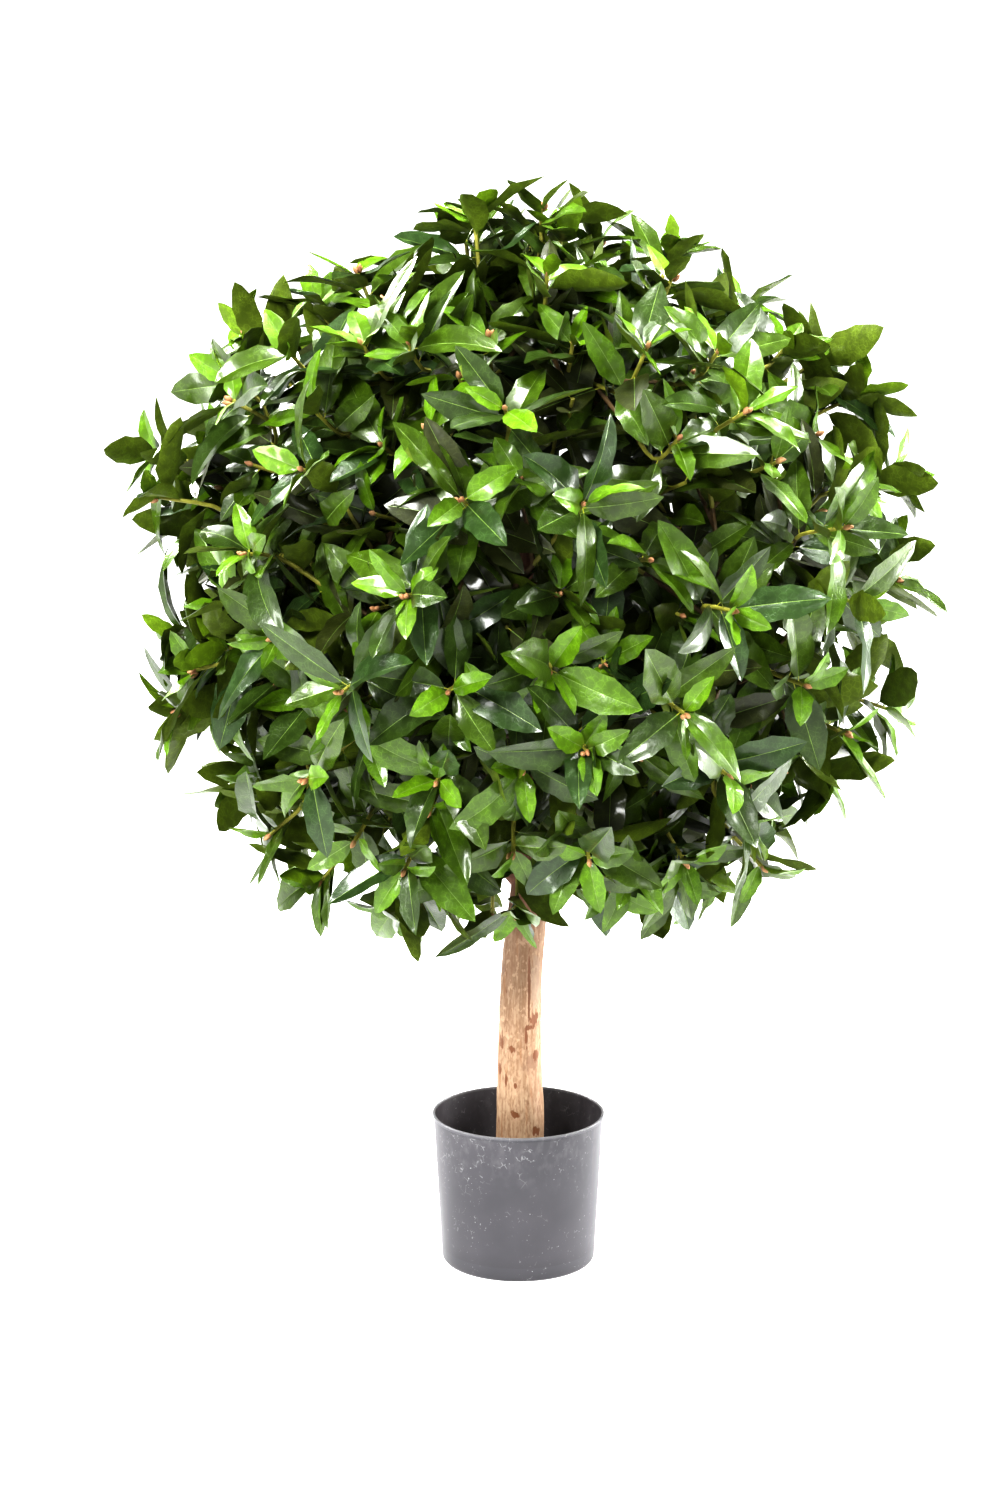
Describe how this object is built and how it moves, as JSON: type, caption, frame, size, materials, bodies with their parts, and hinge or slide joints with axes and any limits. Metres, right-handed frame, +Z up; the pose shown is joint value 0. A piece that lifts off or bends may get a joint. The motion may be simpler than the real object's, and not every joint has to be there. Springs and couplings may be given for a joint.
{
  "type": "artificial bay ball topiary",
  "caption": "Artificial bay laurel standard: a full leafy ball on a bare natural wood trunk, set in a small plain black nursery pot.",
  "frame": {"origin": "centre of the pot's flat underside, level with the floor", "axes": "+Z up along the plant, -Y towards the front view, +X to the viewer's right"},
  "size_m": [0.8175, 0.8106, 1.0918],
  "materials": {
    "pot_plastic": "scuffed satin",
    "cement": "rough, dark",
    "bark": "bare wood with fine grain",
    "foliage": "satin leaves"
  },
  "bodies": {
    "root": {"pot": "pot_plastic", "cement": "cement", "trunk": "bark", "bough_left": "bark", "bough_front_right": "bark", "bough_back": "bark", "bough_front": "bark", "bough_back_right": "bark", "foliage_top": "foliage", "foliage_left": "foliage", "foliage_front_right": "foliage", "foliage_back": "foliage", "foliage_front": "foliage", "foliage_back_right": "foliage"}
  },
  "joints": []
}
